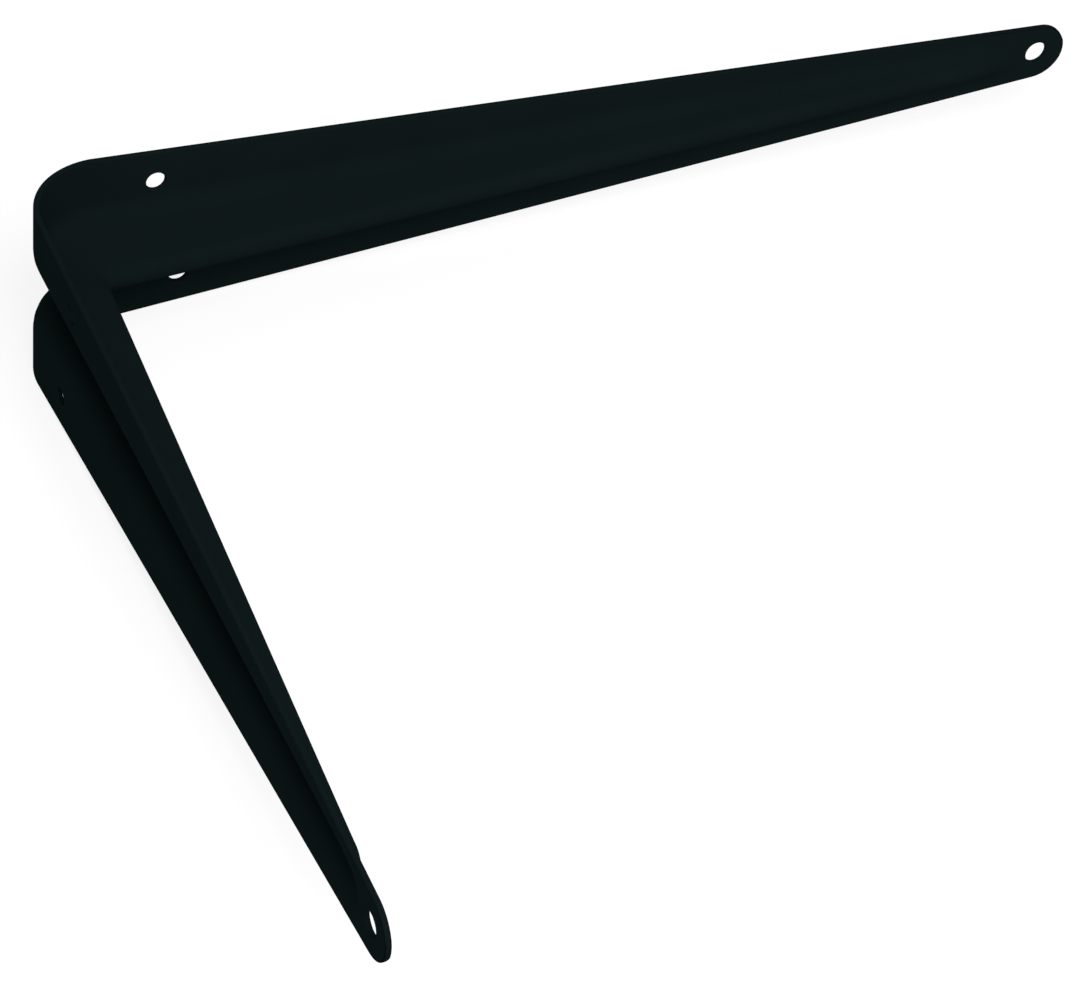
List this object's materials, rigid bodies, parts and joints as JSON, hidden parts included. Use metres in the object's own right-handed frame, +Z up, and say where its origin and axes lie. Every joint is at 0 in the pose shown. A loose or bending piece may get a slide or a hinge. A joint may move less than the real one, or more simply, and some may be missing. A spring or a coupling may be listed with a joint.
{
  "type": "shelf bracket",
  "caption": "Pressed steel shelf bracket, a tapered sheet folded square, with a ridge along both arms that stiffens the fold, rounded tips and screw holes for the wall and the shelf.",
  "frame": {"origin": "where the wall plane meets the plane of the shelf's underside, at mid width of the bracket", "axes": "+X out from the wall along the shelf arm, +Y across the bracket, +Z up; the wall arm hangs down along -Z"},
  "size_m": [0.2, 0.0422, 0.25],
  "materials": {
    "black_paint": "satin"
  },
  "bodies": {
    "root": {"bracket": "black_paint"}
  },
  "joints": []
}
